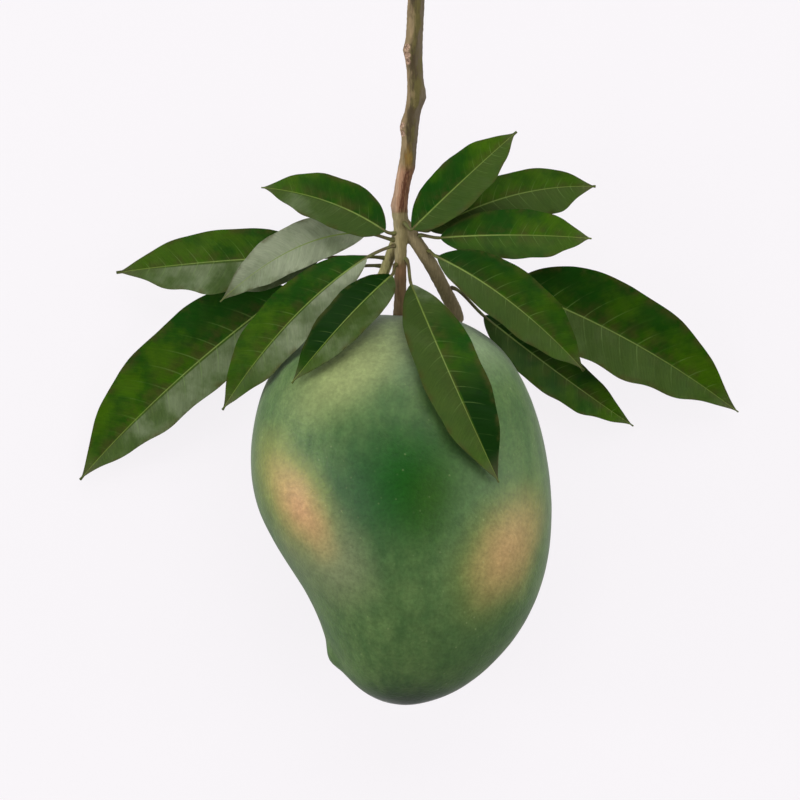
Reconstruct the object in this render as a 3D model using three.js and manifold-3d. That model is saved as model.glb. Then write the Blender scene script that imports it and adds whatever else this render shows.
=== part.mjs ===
// A mango as picked: one fruit lying on its cheek, with its stalk, the cut end of its twig
// and the whorl of leaves that stands on it.
// Millimetres, +Z up. The origin is the middle of the small flat spot that the fruit rests on,
// and +Y points from the fruit to its stalk, so that +X is the fruit's back and -X its belly.
import * as THREE from "three";
import { mergeVertices } from "three/addons/utils/BufferGeometryUtils.js";
import Module from "manifold-3d";

const wasm = await Module();
wasm.setup();
const { degToRad, lerp, smoothstep } = THREE.MathUtils;

// Driving dimensions of the fruit
const FRUIT_LENGTH = 150;
const FLAT_DEPTH = 1.7; // how much of the lower cheek is pressed flat
const FLAT_OFFSET = 5.5; // how far the flat spot lies from the fruit's centre, towards the stalk
const HOLLOW_DEPTH = 1.8; // the dimple that the stalk stands in
const HOLLOW_SPREAD = 6; // degrees
const NUB_HEIGHT = 3.9; // the small beak above the tip, on the belly side
const NUB_SPREAD = 4.6; // degrees
const NUB_PLACE = 153.5; // degrees from the stalk

// Distance from the fruit's centre to its skin, as a share of the fruit's length,
// every 15 degrees from the stalk to the tip, along the back, the belly and both cheeks.
const BACK = [0.492, 0.49, 0.473, 0.434, 0.399, 0.38, 0.376, 0.385, 0.404, 0.43, 0.461, 0.493, 0.512];
const BELLY = [0.492, 0.494, 0.494, 0.484, 0.444, 0.41, 0.379, 0.349, 0.334, 0.342, 0.392, 0.481, 0.512];
const CHEEK = [0.492, 0.477, 0.433, 0.388, 0.351, 0.329, 0.32, 0.319, 0.331, 0.357, 0.403, 0.47, 0.512];

// Driving dimensions of the stalk and twig
const JOIN_GAP = 0.3;
const STALK_RADIUS = 2.4;
const STALK_FOOT = 0.7; // how much the stalk swells where it meets the fruit
const TWIG_RADIUS = 2.95; // above the fork
const CUT_RADIUS = 3.3; // at the twig's cut end
const STALK_STAND = 0.9; // how far the stalk's foot stands above the bottom of the dimple
const FORK = 34; // along the stalk, from the fruit to the fork
const THICK_START = 24; // the stalk turns into the thicker twig from here
const THICK_END = 36; // to here
const BACK_STALK_RADIUS = 2.7;
const BELLY_STALK_RADIUS = 2.1;

// Driving dimensions of the leaves
const PETIOLE_RADIUS = 1;
const PETIOLE_LEAVE = 0.2; // how far the petiole heads straight off its stem, as a share of its span
const PETIOLE_BEND = 0.33; // how far it is already in line with the blade before the heel
const LEAF_TIP_RADIUS = 0.5;
const BLADE_THICKNESS = 0.7;
const HEEL_FULLNESS = 0.7; // the lower, the rounder the blade starts
const TIP_FULLNESS = 3.2; // the higher, the longer the blade stays broad
const TIP_TAPER = 1.5; // the higher, the finer the tip
const BLADE_START = 0.15; // share of the blade's length over which the round petiole turns flat
const BLADE_FOLD = degToRad(13); // how far each half rises from the midrib
const WAVES = 4;
const WAVE_HEIGHT = 1.3; // of the waves on the edge that hangs lower, towards the fruit's tip
const EDGE_RIPPLE = 0.06; // how far those waves move the outline, as a share of the half width
const CALM_SHARE = 0.3; // how strong the waves are on the other edge
const HEEL_HEIGHT = 0.4; // how high the waves are at the heel, as a share of those at the tip
const HEEL_PACE = 0.6; // how closely they follow each other at the heel, as a share of those at the tip

// Facets
const FRUIT_SIDES = 40;
const FRUIT_RINGS = 28;
const TWIG_SIDES = 12;
const TWIG_STEP = 3;
const PETIOLE_STEPS = 4;
const BLADE_STEPS = 18;
const BLADE_COLUMNS = [-1, -0.5, 0, 0.5, 1]; // across the leaf, in half widths

// The value at a share of the way along evenly spaced knots, on a smooth curve that is level at both ends.
function alongKnots(knots, share) {
  const last = knots.length - 1;
  const place = Math.min(share * last, last - 1e-9);
  const i = Math.floor(place);
  const t = place - i;
  const knot = (k) => knots[k < 0 ? -k : k > last ? 2 * last - k : k];
  const [a, b, c, d] = [knot(i - 1), knot(i), knot(i + 1), knot(i + 2)];
  return b + 0.5 * t * (c - a + t * (2 * a - 5 * b + 4 * c - d + t * (3 * (b - c) + d - a)));
}

// A bump that is 1 at its middle and fades over the given spread.
const bump = (offset, spread) => Math.exp(-((offset / spread) ** 2));

const CHEEK_MIDDLE = CHEEK[(CHEEK.length - 1) / 2];
const CENTRE_HEIGHT = FRUIT_LENGTH * CHEEK_MIDDLE - FLAT_DEPTH;
const CENTRE = new THREE.Vector3(0, -FLAT_OFFSET, CENTRE_HEIGHT);
const NUB_DIRECTION = new THREE.Vector3(-Math.sin(degToRad(NUB_PLACE)), Math.cos(degToRad(NUB_PLACE)), 0);

// The distance from the fruit's centre to its skin in a direction.
function skinRadius(direction) {
  const turn = Math.acos(THREE.MathUtils.clamp(direction.y, -1, 1));
  const share = turn / Math.PI;
  const lean = Math.atan2(direction.z, direction.x);
  const edge = alongKnots(direction.x > 0 ? BACK : BELLY, share);
  const cheek = alongKnots(CHEEK, share);
  const radius = 1 / Math.hypot(Math.cos(lean) / edge, Math.sin(lean) / cheek);
  const fromStalk = THREE.MathUtils.radToDeg(turn);
  const fromNub = THREE.MathUtils.radToDeg(direction.angleTo(NUB_DIRECTION));
  return radius * FRUIT_LENGTH
    - HOLLOW_DEPTH * bump(fromStalk, HOLLOW_SPREAD)
    + NUB_HEIGHT * bump(fromNub, NUB_SPREAD);
}

// The fruit is a sphere pulled out to the skin and pressed flat where it lies.
function fruitGeometry() {
  const sphere = new THREE.SphereGeometry(1, FRUIT_SIDES, FRUIT_RINGS);
  sphere.deleteAttribute("normal");
  sphere.deleteAttribute("uv");
  const geometry = mergeVertices(sphere);
  const places = geometry.attributes.position;
  const p = new THREE.Vector3();
  for (let i = 0; i < places.count; i++) {
    p.fromBufferAttribute(places, i).normalize();
    p.multiplyScalar(skinRadius(p)).add(CENTRE);
    places.setXYZ(i, p.x, p.y, Math.max(p.z, 0));
  }
  return geometry;
}

// A closed skin over rings of points. Quads up to column `flip` split one way and the rest the other way,
// so that the two faces of a thin blade are cut into triangles alike.
function loft(rings, flip = 0) {
  const size = rings[0].length;
  const index = [];
  for (let r = 0; r + 1 < rings.length; r++) {
    for (let j = 0; j < size; j++) {
      const next = (j + 1) % size;
      const [a, b, c, d] = [r * size + j, r * size + next, (r + 1) * size + next, (r + 1) * size + j];
      index.push(...(j < flip ? [a, b, c, a, c, d] : [a, b, d, b, c, d]));
    }
  }
  const end = (rings.length - 1) * size;
  for (let j = 1; j + 1 < size; j++) {
    index.push(0, j + 1, j);
    index.push(end, end + j, end + j + 1);
  }
  const geometry = new THREE.BufferGeometry().setFromPoints(rings.flat());
  return geometry.setIndex(index);
}

// The directions to the right of and above a line that runs along `tangent`, turned about it by `roll`.
function frameAlong(tangent, roll = 0) {
  const right = new THREE.Vector3().crossVectors(tangent, new THREE.Vector3(0, 0, 1)).normalize();
  right.applyAxisAngle(tangent, roll);
  return { right, above: new THREE.Vector3().crossVectors(right, tangent) };
}

// The skin point of a stem at a distance along it and an angle round it: 0 is right, 90 above, 180 left.
function onStem(stem, distance, angle, gap = 0) {
  const share = Math.min(1, distance / stem.curve.getLength());
  const { right, above } = frameAlong(stem.curve.getTangentAt(share));
  const reach = stem.radius(distance, angle) + gap;
  return stem.curve.getPointAt(share)
    .addScaledVector(right, reach * Math.cos(degToRad(angle)))
    .addScaledVector(above, reach * Math.sin(degToRad(angle)));
}

function stemGeometry(stem) {
  const length = stem.curve.getLength();
  const steps = Math.round(length / TWIG_STEP);
  const rings = [];
  for (let i = 0; i <= steps; i++) {
    const ring = [];
    for (let j = 0; j < TWIG_SIDES; j++) {
      ring.push(onStem(stem, (length * i) / steps, (-360 * j) / TWIG_SIDES));
    }
    rings.push(ring);
  }
  return loft(rings);
}

// The knuckles where older leaves stood: distance along the twig, angle round it and height.
const KNUCKLES = [
  [41, 180, 0.8],
  [57, 0, 0.7],
  [72, 180, 1.3],
  [84, 0, 1.4],
  [101, 170, 1.2],
];
const KNUCKLE_LENGTH = 3;

function twigRadius(distance, angle) {
  const wood = lerp(TWIG_RADIUS, CUT_RADIUS, smoothstep(distance, THICK_END, twig.curve.getLength()));
  const thick = lerp(STALK_RADIUS, wood, smoothstep(distance, THICK_START, THICK_END));
  const foot = STALK_FOOT * bump(distance, KNUCKLE_LENGTH);
  const knuckles = KNUCKLES.map(([at, side, height]) => {
    const facing = Math.max(0, Math.cos(degToRad(angle - side)));
    return height * facing * bump(distance - at, KNUCKLE_LENGTH);
  });
  return thick + foot + knuckles.reduce((a, b) => a + b);
}

const STALK_START = CENTRE.y + FRUIT_LENGTH * BACK[0] - HOLLOW_DEPTH + STALK_STAND;
// The twig's middle line, from the fruit to the cut: right of, along from and above the fruit's stalk end.
const TWIG_LINE = [
  [-1.7, 0, 0],
  [-1.8, 12, 0.4],
  [-1.6, 24, 1.2],
  [-1.6, 34, 2],
  [-1.8, 42, 2.6],
  [-0.8, 50, 3.4],
  [1.2, 61, 4.6],
  [2.4, 73, 5.8],
  [3.9, 84, 6.6],
  [3.5, 100, 7.6],
  [4.3, 121, 8.7],
].map(([x, y, z]) => new THREE.Vector3(x, STALK_START + y, CENTRE_HEIGHT + z));

const twig = { curve: new THREE.CatmullRomCurve3(TWIG_LINE), radius: twigRadius };
const forkPoint = twig.curve.getPointAt(FORK / twig.curve.getLength());
const fromFork = ([x, y, z]) => forkPoint.clone().add(new THREE.Vector3(x, y, z));

// Two side stalks, cut off short where the neighbouring fruits hung.
const BACK_LINE = [
  [0, 2, -0.5],
  [5, -5, -1],
  [11.5, -15, -3],
  [17.5, -26, -7],
  [22, -34.6, -11.5],
];
const BELLY_LINE = [
  [0, 0, -1],
  [-2, -6, -4],
  [-5, -14, -8],
  [-7.5, -20.5, -11.5],
];
const backStalk = {
  curve: new THREE.CatmullRomCurve3(BACK_LINE.map(fromFork)),
  radius: () => BACK_STALK_RADIUS,
};
const bellyStalk = {
  curve: new THREE.CatmullRomCurve3(BELLY_LINE.map(fromFork)),
  radius: () => BELLY_STALK_RADIUS,
};

function asSolid(geometry) {
  const merged = mergeVertices(geometry);
  const mesh = new wasm.Mesh({
    numProp: 3,
    vertProperties: new Float32Array(merged.attributes.position.array),
    triVerts: new Uint32Array(merged.index.array),
  });
  return new wasm.Manifold(mesh);
}

function asGeometry(solid) {
  const { vertProperties, triVerts } = solid.getMesh();
  return new THREE.BufferGeometry()
    .setAttribute("position", new THREE.BufferAttribute(vertProperties, 3))
    .setIndex(new THREE.BufferAttribute(triVerts, 1));
}

function twigGeometry() {
  const [main, back, belly] = [twig, backStalk, bellyStalk].map((stem) => asSolid(stemGeometry(stem)));
  return asGeometry(main.add(back).add(belly));
}

// Each leaf: the stem it stands on, how far along it and at what angle round it the petiole leaves,
// then the heel, middle and tip of its midrib from the fork, the widths of its left and right half,
// the share of its length at which it is widest, and its roll in degrees.
const LEAVES = [
  ["leaf_01", twig, 31, 150, [-6, -2.5, 5], [-28, 8.5, 10], [-53, 14, 6], [9, 10], 0.34, 8],
  ["leaf_02", bellyStalk, 15, 10, [-31, -12, -10], [-69, -13, -22], [-111, -17, -40], [12.2, 12.2], 0.37, -6],
  ["leaf_03", twig, 28.5, 172, [-13, -3.2, 1], [-40.5, -9, -1.5], [-69.5, -29, -14], [8.7, 8.7], 0.42, 10],
  ["leaf_04", bellyStalk, 19, -10, [-43, -24, -26], [-88, -60, -34], [-125.5, -98, -43], [13, 19], 0.33, 6],
  ["leaf_05", twig, 26.3, 158, [-13, -12.7, 7], [-42, -37, 13], [-68, -70.5, 0], [9.8, 11.2], 0.48, 10],
  ["leaf_06", twig, 19, 140, [-3.5, -19.5, 8], [-21, -37, 24], [-41, -60.5, 27], [9.4, 8.4], 0.38, 20],
  ["leaf_07", twig, 21, 40, [4, -23, 9], [19, -59, 38], [36.5, -97.5, 39], [12.2, 11.8], 0.44, -15],
  ["leaf_08", twig, 35, 62, [4.4, -1.8, 5], [23.5, 16.5, 9], [44, 35, 10], [9.4, 9.4], 0.42, -8],
  ["leaf_09", backStalk, 6.5, 190, [11, -2, -2], [42.5, 11.5, -7], [75, 15.5, -16], [8.8, 11.6], 0.48, 5],
  ["leaf_10", backStalk, 9, 150, [15, -5, 3], [43.5, -4, 3], [73, -5, -5], [9.6, 9.4], 0.46, -8],
  ["leaf_11", backStalk, 15.5, 130, [14, -12.5, 7], [42, -30, 10], [70, -55.5, -4], [12.2, 9.4], 0.46, -10],
  ["leaf_12", backStalk, 18, 235, [42, -23.5, -12], [88, -43.5, -25], [132, -71.5, -42], [19, 14.4], 0.31, 6],
  ["leaf_13", backStalk, 33, 180, [32, -34.5, -13], [62, -57, -30], [91, -77, -43], [8.4, 9.6], 0.34, -5],
];
const PHASE_STEP = 2.4; // radians between one leaf's waves and the next leaf's
const EDGE_PHASE = 1.7; // radians between the waves of a leaf's two edges

// The blade's half width at a share of its length, as a share of its greatest half width.
function bladeShape(t, widest) {
  return t < widest
    ? (1 - ((widest - t) / widest) ** 2) ** HEEL_FULLNESS
    : (1 - ((t - widest) / (1 - widest)) ** TIP_FULLNESS) ** TIP_TAPER;
}

// The wave at a share of the blade's length, on an edge: closer and higher towards the tip.
function bladeWave(t, phase) {
  const turn = 2 * Math.PI * WAVES * t * lerp(HEEL_PACE, 1, t);
  return lerp(HEEL_HEIGHT, 1, t) * Math.sin(turn + phase);
}

// The points of a leaf's section: across the upper face and back along the lower one.
function leafRing(centre, tangent, t, leaf, phase) {
  const { right, above } = frameAlong(tangent, leaf.roll);
  const stem = lerp(PETIOLE_RADIUS, LEAF_TIP_RADIUS, t);
  const flat = smoothstep(t, 0, BLADE_START);
  const shape = bladeShape(t, leaf.widest);
  const upper = [];
  const lower = [];
  for (const s of BLADE_COLUMNS) {
    const calm = right.y * s < 0 ? 1 : CALM_SHARE;
    const wave = calm * bladeWave(t, phase + (s > 0 ? EDGE_PHASE : 0)) * s * s;
    const width = leaf.halves[s < 0 ? 0 : 1];
    const half = Math.hypot(stem, width * shape * (1 + EDGE_RIPPLE * wave));
    const rise = half * Math.abs(s) * Math.tan(BLADE_FOLD) + WAVE_HEIGHT * wave * shape;
    const middle = centre.clone().addScaledVector(right, half * s).addScaledVector(above, flat * rise);
    const round = Math.max(BLADE_THICKNESS / 2, PETIOLE_RADIUS * Math.sqrt(1 - s * s));
    const rib = s === 0 ? stem : BLADE_THICKNESS / 2;
    upper.push(middle.clone().addScaledVector(above, lerp(round, BLADE_THICKNESS / 2, flat)));
    lower.unshift(middle.clone().addScaledVector(above, -lerp(round, rib, flat)));
  }
  return [...upper, ...lower];
}

function leafGeometry(leaf, number) {
  const chord = leaf.heel.clone().add(leaf.tip).multiplyScalar(0.5);
  const bow = leaf.middle.clone().multiplyScalar(2).sub(chord);
  const blade = new THREE.QuadraticBezierCurve3(leaf.heel, bow, leaf.tip);
  const span = leaf.root.distanceTo(leaf.heel);
  const away = leaf.root.clone().addScaledVector(leaf.outward, span * PETIOLE_LEAVE);
  const bend = leaf.heel.clone().addScaledVector(blade.getTangent(0), -span * PETIOLE_BEND);
  const petiole = new THREE.CubicBezierCurve3(leaf.root, away, bend, leaf.heel);
  const phase = number * PHASE_STEP;
  const rings = [];
  for (let i = 0; i < PETIOLE_STEPS; i++) {
    const u = i / PETIOLE_STEPS;
    rings.push(leafRing(petiole.getPoint(u), petiole.getTangent(u), 0, leaf, phase));
  }
  for (let i = 0; i <= BLADE_STEPS; i++) {
    const t = i / BLADE_STEPS;
    rings.push(leafRing(blade.getPoint(t), blade.getTangent(t), t, leaf, phase));
  }
  return loft(rings, BLADE_COLUMNS.length);
}

const skin = new THREE.MeshStandardMaterial({ color: 0x4e6a3a, roughness: 0.42, metalness: 0 });
const bark = new THREE.MeshStandardMaterial({ color: 0x62583a, roughness: 0.85, metalness: 0 });
const foliage = new THREE.MeshStandardMaterial({ color: 0x3c5520, roughness: 0.5, metalness: 0 });

function named(name, geometry, material) {
  const mesh = new THREE.Mesh(geometry, material);
  mesh.name = name;
  return mesh;
}

const mango = new THREE.Group();
mango.add(named("fruit", fruitGeometry(), skin));
mango.add(named("twig", twigGeometry(), bark));
LEAVES.forEach(([name, stem, distance, angle, heel, middle, tip, halves, widest, roll], number) => {
  const root = onStem(stem, distance, angle, JOIN_GAP);
  const leaf = {
    root,
    outward: root.clone().sub(onStem(stem, distance, angle)).normalize(),
    heel: fromFork(heel),
    middle: fromFork(middle),
    tip: fromFork(tip),
    halves,
    widest,
    roll: degToRad(roll),
  };
  mango.add(named(name, leafGeometry(leaf, number), foliage));
});

export default mango;
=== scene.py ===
# %% [markdown]
# # A mango as picked
# The solid model holds a mango that lies on its cheek, with its stalk, the cut end of its twig and a whorl
# of leaves. This lesson dresses it: a waxy skin with blushes, bark with leaf scars, and thin waved leaves
# with ribs and veins. Everything is in metres, in the frame of the solid model: +Z is up from the table,
# +Y runs from the fruit to its stalk, and the fruit's back is on the +X side.

# %% Load the solid model
import math

import bpy
from mathutils import Matrix, Vector
from mathutils.bvhtree import BVHTree


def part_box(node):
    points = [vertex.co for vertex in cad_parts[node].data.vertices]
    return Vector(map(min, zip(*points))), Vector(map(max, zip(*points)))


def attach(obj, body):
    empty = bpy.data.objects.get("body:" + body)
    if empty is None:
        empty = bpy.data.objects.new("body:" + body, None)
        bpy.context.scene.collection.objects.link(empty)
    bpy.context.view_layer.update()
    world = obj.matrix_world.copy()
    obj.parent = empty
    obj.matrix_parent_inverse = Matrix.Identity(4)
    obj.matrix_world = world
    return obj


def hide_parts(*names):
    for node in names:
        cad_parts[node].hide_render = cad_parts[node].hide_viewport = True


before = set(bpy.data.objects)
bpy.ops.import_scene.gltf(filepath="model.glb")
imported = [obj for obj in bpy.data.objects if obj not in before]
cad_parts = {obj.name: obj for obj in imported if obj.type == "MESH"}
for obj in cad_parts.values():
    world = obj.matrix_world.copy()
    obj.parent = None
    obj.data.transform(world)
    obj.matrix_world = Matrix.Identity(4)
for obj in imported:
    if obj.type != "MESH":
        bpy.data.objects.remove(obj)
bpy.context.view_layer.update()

MM = 0.001
print("solids:", sorted(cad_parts))

# %% [markdown]
# ## The camera
# The photograph shows the fruit's upper cheek, so the camera hangs straight above the table and looks down,
# with the stalk towards the top of the picture. A long lens keeps the perspective as weak as the
# photograph's. The picture's width at the middle of the fruit follows from the fruit: 150 mm of fruit
# fill 393 of the 800 pixels.

# %% Hang the camera
PHOTO_MIDDLE = Vector((-1.9, 34.6, 46.3)) * MM
PHOTO_WIDTH = 305.7 * MM
LENS = 200
SENSOR = 36

camera_height = PHOTO_WIDTH * LENS / SENSOR
bpy.ops.object.camera_add(location=PHOTO_MIDDLE + Vector((0, 0, camera_height)), rotation=(0, 0, 0))
camera = bpy.context.object
camera.name = "photo_camera"
camera.data.lens = LENS
camera.data.sensor_width = SENSOR
bpy.context.scene.camera = camera
bpy.context.scene.view_settings.view_transform = "Standard"
print(f"camera {camera_height:.3f} m above the middle of the fruit")

# %% [markdown]
# ## Node helpers
# All the finishes are node trees, and they share a few short helpers: one sets or links a socket, and the
# others add the nodes that are used again and again. Colours are written as they show on a screen, from
# 0 to 255, and turned into the linear light that the shaders work in.

# %% Define the node helpers
def colour(red, green, blue):
    def linear(value):
        share = value / 255
        return share / 12.92 if share <= 0.04045 else ((share + 0.055) / 1.055) ** 2.4
    return (linear(red), linear(green), linear(blue), 1)


def wire(tree, value, socket):
    if isinstance(value, bpy.types.NodeSocket):
        tree.links.new(value, socket)
    else:
        socket.default_value = value


def add_node(tree, kind, inputs=None, **settings):
    made = tree.nodes.new(kind)
    for name, value in settings.items():
        setattr(made, name, value)
    for name, value in (inputs or {}).items():
        wire(tree, value, made.inputs[name])
    return made


def mixed(tree, share, under, over, blend="MIX"):
    made = add_node(tree, "ShaderNodeMix", data_type="RGBA", blend_type=blend)
    wire(tree, share, made.inputs[0])
    wire(tree, under, made.inputs[6])
    wire(tree, over, made.inputs[7])
    return made.outputs[2]


def maths(tree, operation, first, second=0.0):
    made = add_node(tree, "ShaderNodeMath", operation=operation)
    wire(tree, first, made.inputs[0])
    wire(tree, second, made.inputs[1])
    return made.outputs[0]


def ramped(tree, value, start, end, low=0.0, high=1.0):
    """Goes smoothly from low, where the value is at start, to high, where it is at end."""
    inputs = {"Value": value, "From Min": start, "From Max": end, "To Min": low, "To Max": high}
    return add_node(tree, "ShaderNodeMapRange", inputs, interpolation_type="SMOOTHSTEP").outputs[0]


def stretched(tree, coords, scale):
    return add_node(tree, "ShaderNodeMapping", {"Vector": coords, "Scale": scale}).outputs[0]


def cloudy(tree, coords, size, detail=3.0, roughness=0.55):
    """Noise from 0 to 1 whose lumps are about as large as the size, in metres."""
    inputs = {"Vector": coords, "Scale": 1 / size, "Detail": detail, "Roughness": roughness}
    return add_node(tree, "ShaderNodeTexNoise", inputs).outputs[0]


def object_coords(tree):
    return add_node(tree, "ShaderNodeTexCoord").outputs["Object"]


def new_finish(name, **constants):
    finish = bpy.data.materials.new(name)
    finish.use_nodes = True
    tree = finish.node_tree
    shader = tree.nodes["Principled BSDF"]
    for socket, value in constants.items():
        shader.inputs[socket.replace("_", " ")].default_value = value
    return finish, tree, shader


def add_bump(tree, shader, height, distance, strength=1.0):
    inputs = {"Height": height, "Distance": distance, "Strength": strength}
    bump = add_node(tree, "ShaderNodeBump", inputs)
    tree.links.new(bump.outputs[0], shader.inputs["Normal"])


# %% [markdown]
# ## The table and the light
# The fruit was lit softly on a white ground. A pale floor that also glows a little keeps shadows on it
# faint, and it throws less light up under the tip, which stays dark. A large soft light stands on the
# stalk's side, so that the shoulders are bright, and a strip on each side gives the pale rims of a waxy
# skin. The sky is dim overhead, because a bright one would lie as a grey film on all that faces it.

# %% Lay the floor
GROUND_TINT = colour(248, 245, 248)
GROUND_GLOW = 0.925
GROUND_BOUNCE = 0.36
TIP_BOUNCE = 0.02
BOUNCE_START = -0.2
BOUNCE_FULL = 0.02
FLOOR_SIZE = 12
FLOOR_DROP = 0.2 * MM
FLOOR_GREY = colour(78, 76, 78)

bpy.ops.mesh.primitive_plane_add(size=FLOOR_SIZE, location=(0, 0, -FLOOR_DROP))
floor = bpy.context.object
floor.name = "pale_floor"
paper, tree, shader = new_finish("floor_paper", Roughness=1.0, Specular_IOR_Level=0.0)
shader.inputs["Base Color"].default_value = FLOOR_GREY
shader.inputs["Emission Color"].default_value = GROUND_TINT
across_floor = add_node(tree, "ShaderNodeSeparateXYZ", {"Vector": object_coords(tree)})
bounce = ramped(tree, across_floor.outputs["Y"], BOUNCE_START, BOUNCE_FULL, TIP_BOUNCE, GROUND_BOUNCE)
seen = add_node(tree, "ShaderNodeLightPath").outputs["Is Camera Ray"]
tree.links.new(ramped(tree, seen, 0, 1, bounce, GROUND_GLOW), shader.inputs["Emission Strength"])
floor.data.materials.append(paper)
print("floor", floor.dimensions[:])

# %% Light the scene
LIGHT_AIM = Vector((0, 0, 0.05))


def soft_light(name, place, width, height, watts):
    turn = (LIGHT_AIM - Vector(place)).to_track_quat("-Z", "Y").to_euler()
    bpy.ops.object.light_add(type="AREA", location=place, rotation=turn)
    light = bpy.context.object
    light.name = name
    light.data.shape = "RECTANGLE"
    light.data.size = width
    light.data.size_y = height
    light.data.energy = watts
    light.visible_camera = False
    return light


soft_light("stalk_side_light", (0.15, 1.0, 1.1), 1.3, 1.0, 13)
soft_light("left_strip", (-1.2, 0.05, 0.4), 0.3, 1.0, 11)
soft_light("right_strip", (1.2, 0.05, 0.4), 0.3, 1.0, 7)
soft_light("left_fill", (-0.8, -0.3, 1.2), 0.8, 0.8, 5)
soft_light("right_fill", (0.8, -0.3, 1.2), 0.8, 0.8, 4)

SKY_OVERHEAD = 0.02
SKY_LOW = 0.4
SKY_BEHIND_TIP = 0.08
sky = bpy.data.worlds.new("studio_sky")
bpy.context.scene.world = sky
sky.use_nodes = True
tree = sky.node_tree
direction = add_node(tree, "ShaderNodeTexCoord").outputs["Generated"]
parts = add_node(tree, "ShaderNodeSeparateXYZ", {"Vector": direction})
low_sky = ramped(tree, parts.outputs["Y"], -1, 0.4, SKY_BEHIND_TIP, SKY_LOW)
strength = ramped(tree, parts.outputs["Z"], 0, 1, low_sky, SKY_OVERHEAD)
glow = add_node(tree, "ShaderNodeBackground", {"Strength": strength})
ground = add_node(tree, "ShaderNodeBackground", {"Color": GROUND_TINT, "Strength": 1.0})
seen = add_node(tree, "ShaderNodeLightPath").outputs["Is Camera Ray"]
both = add_node(tree, "ShaderNodeMixShader", {"Fac": seen})
tree.links.new(glow.outputs[0], both.inputs[1])
tree.links.new(ground.outputs[0], both.inputs[2])
tree.links.new(both.outputs[0], tree.nodes["World Output"].inputs["Surface"])

# %% [markdown]
# ## The fruit's shape
# The solid fruit is a ball of facets with a pole at the stalk and one at the tip, where a smooth finish
# would pinch. So a cube is cut finely, rounded to a ball and stretched to the fruit's box: its net has no
# poles. It is then wrapped onto a smoothed copy of the solid, relaxed and wrapped again. The smoothing
# takes the point off the small beak beside the tip, so that is drawn out again with proportional editing.
# A faint swell follows, because no skin is as even as a formula.

# %% Shape the fruit
def pick(piece):
    bpy.ops.object.select_all(action="DESELECT")
    piece.select_set(True)
    bpy.context.view_layer.objects.active = piece


def apply_modifiers(piece):
    pick(piece)
    for modifier in list(piece.modifiers):
        bpy.ops.object.modifier_apply(modifier=modifier.name)


def join_doubles():
    bpy.ops.object.mode_set(mode="EDIT")
    bpy.ops.mesh.select_all(action="SELECT")
    bpy.ops.mesh.remove_doubles(threshold=0.01 * MM)
    bpy.ops.object.mode_set(mode="OBJECT")


def merged_copy(node, name):
    """A copy of a solid with its loose triangles joined into one skin."""
    copy = bpy.data.objects.new(name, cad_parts[node].data.copy())
    bpy.context.scene.collection.objects.link(copy)
    copy.data.materials.clear()
    pick(copy)
    join_doubles()
    bpy.ops.mesh.customdata_custom_splitnormals_clear()
    return copy


def draw_out(piece, place, move, reach):
    """Moves the point of a mesh that is nearest to a place, and the skin round it within the reach."""
    nearest = min(piece.data.vertices, key=lambda vertex: (vertex.co - place).length).index
    pick(piece)
    bpy.ops.object.mode_set(mode="EDIT")
    bpy.ops.mesh.select_all(action="DESELECT")
    bpy.ops.object.mode_set(mode="OBJECT")
    piece.data.vertices[nearest].select = True
    bpy.ops.object.mode_set(mode="EDIT")
    bpy.ops.transform.translate(value=move, use_proportional_edit=True, proportional_size=reach,
                                proportional_edit_falloff="SMOOTH", use_proportional_connected=True)
    bpy.ops.object.mode_set(mode="OBJECT")


SKIN_CUTS = 63
BEAK = Vector((-29.5, -64.5, 46.3)) * MM
BEAK_MOVE = Vector((-1.0, -0.8, 0)) * MM
BEAK_REACH = 8 * MM
QUAD_ANGLE = math.radians(60)
SWELL_SIZE = 22 * MM
SWELL_HEIGHT = 0.5 * MM
form = merged_copy("fruit", "fruit_form")
bpy.ops.object.mode_set(mode="EDIT")
bpy.ops.mesh.tris_convert_to_quads(face_threshold=QUAD_ANGLE, shape_threshold=QUAD_ANGLE)
bpy.ops.object.mode_set(mode="OBJECT")
rounding = form.modifiers.new("rounding", "SUBSURF")
rounding.levels = rounding.render_levels = 2
apply_modifiers(form)

low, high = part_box("fruit")
bpy.ops.object.select_all(action="DESELECT")
bpy.ops.mesh.primitive_cube_add(size=2, location=(low + high) / 2)
fruit = bpy.context.object
fruit.name = "mango_fruit"
bpy.ops.object.mode_set(mode="EDIT")
bpy.ops.mesh.subdivide(number_cuts=SKIN_CUTS)
bpy.ops.transform.tosphere(value=1)
bpy.ops.object.mode_set(mode="OBJECT")
fruit.scale = (high - low) / max(fruit.dimensions)
bpy.ops.object.transform_apply(location=True, rotation=True, scale=True)
for step in ("first", "second"):
    wrap = fruit.modifiers.new(step + "_wrap", "SHRINKWRAP")
    wrap.target = form
    relax = fruit.modifiers.new(step + "_relax", "SMOOTH")
    relax.factor = 0.5
    relax.iterations = 3
wrap = fruit.modifiers.new("last_wrap", "SHRINKWRAP")
wrap.target = form
swell_noise = bpy.data.textures.new("skin_swell", "CLOUDS")
swell_noise.noise_scale = SWELL_SIZE
swell = fruit.modifiers.new("swell", "DISPLACE")
swell.texture = swell_noise
swell.texture_coords = "LOCAL"
swell.strength = SWELL_HEIGHT
apply_modifiers(fruit)
draw_out(fruit, BEAK, BEAK_MOVE, BEAK_REACH)
bpy.ops.object.shade_smooth()
bpy.data.objects.remove(form)
print("fruit", len(fruit.data.polygons), "faces,", [round(d / MM, 1) for d in fruit.dimensions], "mm")
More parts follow.
